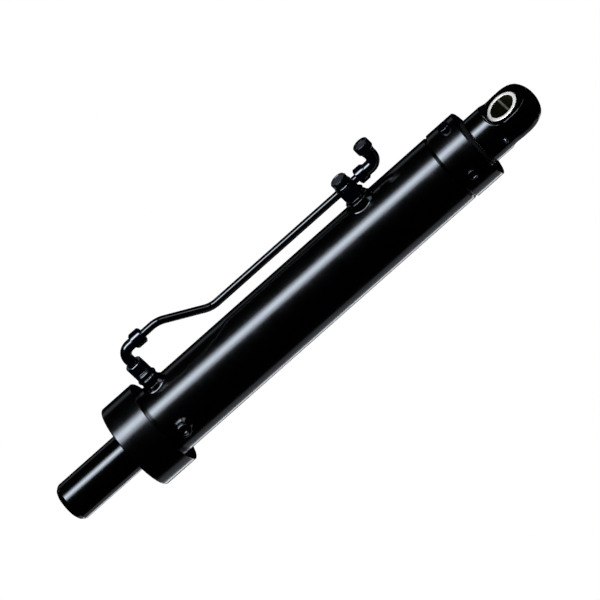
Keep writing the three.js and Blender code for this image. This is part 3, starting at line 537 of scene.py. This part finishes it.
ring_piece("stop_tube_fine", 28.35, 33.2, 269.3, 308.7, "iron", "rod", "stop_tube", 0.6)
ring_piece("piston_seal_fine", 34.3, 39.5, 234.1, 243.5, "rubber", "piston_seals", "piston_seal", 0.7)
ring_piece("piston_wear_ring_rear_fine", 37.1, 39.55, 215.3, 223.3, "polymer", "piston_seals", "piston_wear_ring_rear")
ring_piece("piston_wear_ring_front_fine", 37.1, 39.55, 254.7, 262.7, "polymer", "piston_seals", "piston_wear_ring_front")

# ------------------------------------------------------------------ rod eye
# Round bar with a domed end and milled flats. Columns follow the flats' edges and rows follow the
# milled end wall, so that every edge is a real rounded one.
CLOCK = math.radians(10)
Q = Vector((0, -math.sin(CLOCK), math.cos(CLOCK)))   # pin axis
P = Vector((0, math.cos(CLOCK), math.sin(CLOCK)))    # across the pin, away from the viewer
ER, HR, PINX, EX0, XD, XE, FH = 34.0, 35.6, 772.0, 720.6, 777.5, 812.0, 19.0
def bar_r(x):
    if x <= XD:
        u = min(max((x - 755) / 14, 0.0), 1.0)
        return ER + (HR - ER) * u * u * (3 - 2 * u)
    u = min(1.0, (x - XD) / (XE - XD))
    return HR * max(0.0, 1 - u ** 2.15) ** (1 / 2.15)
def smin(a, b, k):
    h = max(k - abs(a - b), 0.0) / k
    return min(a, b) - h * h * k * 0.25
def wall_x(y):
    return PINX + 3.6 - 28.4 * max(1 - (abs(y) / 31.5) ** 2.5, 0.0) ** 0.4
def flat_r(dth):
    return FH / max(math.cos(dth), 1e-3)
rows = []
def columns(b):
    """Angles from the pin axis, over a quarter turn, gathered round the flat's edge at b."""
    b = max(b, 0.06)
    w = min(0.085, b * 0.5)
    return np.concatenate([np.linspace(0, b - w, 16, endpoint=False), np.linspace(b - w, b + w, 15), np.linspace(b + w, PI / 2, 12)[1:]])
def quarter(x_of, r_of, b):
    return [(x_of(t), r_of(t), t) for t in columns(b)]
B0 = math.acos(FH / HR)
spec = [("neck", EX0, ER - 1.2), ("neck", EX0 + 0.25, ER - 0.55), ("neck", EX0 + 0.6, ER - 0.2), ("neck", EX0 + 1.2, ER)]
verts, grid = [], []
def add_row(fn, b):
    """fn(angle) -> (x, r) for the angle from the pin axis, mirrored to the four quarters."""
    cols = columns(b)
    full = list(cols) + [PI - t for t in cols[-2::-1]]            # 0 .. pi
    full += [PI + t for t in cols[1:]] + [2 * PI - t for t in cols[-2:0:-1]]
    row = []
    for t in full:
        m = t % PI
        q = m if m <= PI / 2 else PI - m
        x, r = fn(q)
        row.append(len(verts))
        verts.append((X_ROW * x + (Q * math.cos(t) + P * math.sin(t)) * r) * MM)
    grid.append(row)
for _, x, r in spec: add_row(lambda q, x=x, r=r: (x, r), B0)
def has_flat(q): return q < B0
def wx(q):
    y = FH * math.tan(min(q, B0))
    return wall_x(min(y, 30.2))
for u in np.linspace(0.1, 0.95, 14):
    def f(q, u=u):
        x = EX0 + 1.2 + (wx(q) - 1.6 - EX0 - 1.2) * u
        return x, bar_r(x)
    add_row(f, B0)
for dx, k in ((-1.3, 0.0), (-0.75, 0.03), (-0.35, 0.1), (-0.1, 0.22), (0.0, 0.4), (0.0, 0.7), (0.12, 0.88), (0.45, 0.97), (1.1, 1.0)):
    def f(q, dx=dx, k=k):
        R = bar_r(wx(q))
        dr = max(R - smin(R, flat_r(q), 1.2), 0.0); s = min(1.0, dr / 2.5)
        return wx(q) + dx * (0.25 + 0.75 * s), R - dr * k
    add_row(f, B0)
def after(x):
    R = bar_r(x)
    b = math.acos(min(1.0, FH / R)) if R > FH else 0.0
    return R, b
for u in np.linspace(0.08, 1.0, 12):
    def f(q, u=u):
        x = wx(q) + 1.1 + (XD - wx(q) - 1.1) * u
        R = bar_r(x)
        return x, smin(R, flat_r(q), 1.2)
    add_row(f, B0)
for a_ in np.linspace(0.06, PI / 2 - 0.02, 30):
    x = XD + (XE - XD) * math.sin(a_) ** (2 / 2.15)
    R, b = after(x)
    add_row(lambda q, x=x, R=R: (x, smin(R, flat_r(q), 1.2) if R > 1 else R), b)
ncol = len(grid[0])
faces = []
for i in range(len(grid) - 1):
    for j in range(ncol):
        k = (j + 1) % ncol
        faces.append([grid[i][j], grid[i][k], grid[i + 1][k], grid[i + 1][j]])
tip = len(verts); verts.append(X_ROW * XE * MM)
for j in range(ncol): faces.append([grid[-1][j], grid[-1][(j + 1) % ncol], tip])
# the socket for the rod's stud
inner = []
for x, r in ((EX0, 21.4), (742.4, 21.4)):
    row = []
    for j in range(ncol):
        v = Vector(verts[grid[0][j]]); c = Vector((0, v.y, v.z)).normalized()
        row.append(len(verts)); verts.append(X_ROW * x * MM + c * r * MM)
    inner.append(row)
back = len(verts); verts.append(X_ROW * 742.4 * MM)
for j in range(ncol):
    k = (j + 1) % ncol
    faces.append([grid[0][k], grid[0][j], inner[0][j], inner[0][k]])
    faces.append([inner[0][k], inner[0][j], inner[1][j], inner[1][k]])
    faces.append([inner[1][k], inner[1][j], back])
eye = finish_mesh("rod_eye_fine", verts, faces, 35)
tool = lathe("bore_tool", [(0, -40), (23.45, -40), (23.45, 40), (0, 40)], (Q, X_ROW, Q.cross(X_ROW)), (PINX, 0, 0), sides=128)
minus(eye, tool)
eye.data.set_sharp_from_angle(angle=math.radians(35))
dress(eye, "paint_eye", "rod", "rod_eye")

bush = [(18.05, -18.6), (18.45, -19.0, 0.2), (23.2, -19.0, 1.7), (23.2, 19.0, 1.7), (18.45, 19.0, 0.2), (18.05, 18.6)]
dress(lathe("eye_bush_fine", fil(bush, closed=True, n=4), (Q, X_ROW, Q.cross(X_ROW)), (PINX, 0, 0), sides=160, closed=True), "bright", "rod", "eye_bush")
lining = [(17.5, -18.2), (17.7, -18.5), (18.05, -18.5), (18.05, 18.5), (17.7, 18.5), (17.5, 18.2)]
dress(lathe("eye_bush_lining", lining, (Q, X_ROW, Q.cross(X_ROW)), (PINX, 0, 0), sides=160, closed=True), "lining", "rod")
nip = fil([(0, 26), (2.8, 26), (2.8, 34.3), (3.3, 34.4), (3.3, 36.0, 0.4), (2.1, 36.5, 0.3), (1.6, 37.4, 0.4), (2.2, 38.2, 0.5), (2.1, 39.3, 0.5), (1.2, 39.8, 0.3), (0, 39.5)], n=3)
dress(lathe("grease_nipple_fine", nip, (-P, X_ROW, (-P).cross(X_ROW)), (750, 0, 0), sides=48), "nipple", "rod", "grease_nipple")

# ------------------------------------------------------------------ floor, world and lights
def plane(name, size, z):
    me = bpy.data.meshes.new(name)
    h = size / 2
    me.from_pydata([(-h, -h, z), (h, -h, z), (h, h, z), (-h, h, z)], [], [(0, 1, 2, 3)])
    ob = bpy.data.objects.new(name, me)
    bpy.context.scene.collection.objects.link(ob)
    return ob
floor = plane("floor", 90, -0.30)
fm = bpy.data.materials.new("floor_pale"); fm.use_nodes = True
nt = fm.node_tree; nt.nodes.clear()
out = nt.nodes.new("ShaderNodeOutputMaterial")
em = nt.nodes.new("ShaderNodeEmission"); em.inputs["Color"].default_value = (1, 1, 1, 1); em.inputs["Strength"].default_value = 1.0
tr = nt.nodes.new("ShaderNodeBsdfTransparent"); mx = nt.nodes.new("ShaderNodeMixShader"); ge = nt.nodes.new("ShaderNodeNewGeometry")
nt.links.new(ge.outputs["Backfacing"], mx.inputs["Fac"]); nt.links.new(em.outputs[0], mx.inputs[1]); nt.links.new(tr.outputs[0], mx.inputs[2])
nt.links.new(mx.outputs[0], out.inputs["Surface"])
floor.data.materials.append(fm)
floor.visible_glossy = floor.visible_diffuse = floor.visible_shadow = floor.visible_transmission = False

world = bpy.data.worlds.new("studio"); bpy.context.scene.world = world
world.use_nodes = True
wt = world.node_tree; wt.nodes.clear()
wo = wt.nodes.new("ShaderNodeOutputWorld"); mixw = wt.nodes.new("ShaderNodeMixShader"); lp = wt.nodes.new("ShaderNodeLightPath")
bw, bd = wt.nodes.new("ShaderNodeBackground"), wt.nodes.new("ShaderNodeBackground")
bw.inputs["Color"].default_value = (1, 1, 1, 1); bw.inputs["Strength"].default_value = 1.0
bd.inputs["Color"].default_value = (0.8, 0.9, 1.0, 1); bd.inputs["Strength"].default_value = 0.0015
wt.links.new(lp.outputs["Is Camera Ray"], mixw.inputs["Fac"]); wt.links.new(bd.outputs[0], mixw.inputs[1]); wt.links.new(bw.outputs[0], mixw.inputs[2])
wt.links.new(mixw.outputs[0], wo.inputs["Surface"])

AIM = Vector((0.40, 0, 0))
def softbox(name, angle, spread, radiance, dist=2.6, length=3.2, tilt=0.0, color=(0.94, 0.97, 1.0)):
    """Area light seen at an angle round the barrel from the viewer's side (degrees, towards the ports), spread wide in degrees."""
    A, B = math.radians(angle), math.radians(tilt)
    d = (W_ROW * math.cos(A) + U_ROW * math.sin(A)) * math.cos(B) + X_ROW * math.sin(B)
    light = bpy.data.lights.new(name, "AREA")
    light.shape = "RECTANGLE"
    light.size = length
    light.size_y = 2 * dist * math.tan(math.radians(spread) / 2)
    light.energy = radiance * math.pi * light.size * light.size_y
    light.color = color
    ob = bpy.data.objects.new(name, light)
    bpy.context.scene.collection.objects.link(ob)
    ob.location = AIM + d * dist
    z = d
    x = (X_ROW - z * X_ROW.dot(z)).normalized()
    y = z.cross(x)
    ob.rotation_mode = "QUATERNION"
    ob.rotation_quaternion = Matrix(((x.x, y.x, z.x), (x.y, y.y, z.y), (x.z, y.z, z.z))).to_quaternion()
    ob.visible_camera = False
    return ob
COOL = (0.78, 0.87, 1.0)
softbox("key_wide", 41.5, 32, 3.6, tilt=-10, color=COOL)
softbox("key_mid", 41, 24, 5.6, dist=2.55, tilt=-10, color=COOL)
softbox("key_core", 41.5, 12, 8.5, dist=2.5, tilt=-10, color=COOL)
softbox("rim_high", 127, 14, 0.30, dist=3.0, length=4.0, tilt=-10, color=(0.80, 0.90, 1.0))
softbox("rim_low", -130, 42, 0.38, dist=3.0, length=4.5, tilt=-10, color=(0.84, 0.91, 1.0))
softbox("key_side", 42, 22, 2.8, dist=2.7, length=1.3, tilt=47, color=COOL)
softbox("back_fill", -150, 12, 2.6, dist=3.2, length=3.6, tilt=-5)

bpy.context.scene.view_settings.view_transform = "Standard"
bpy.context.scene.view_settings.look = "None"
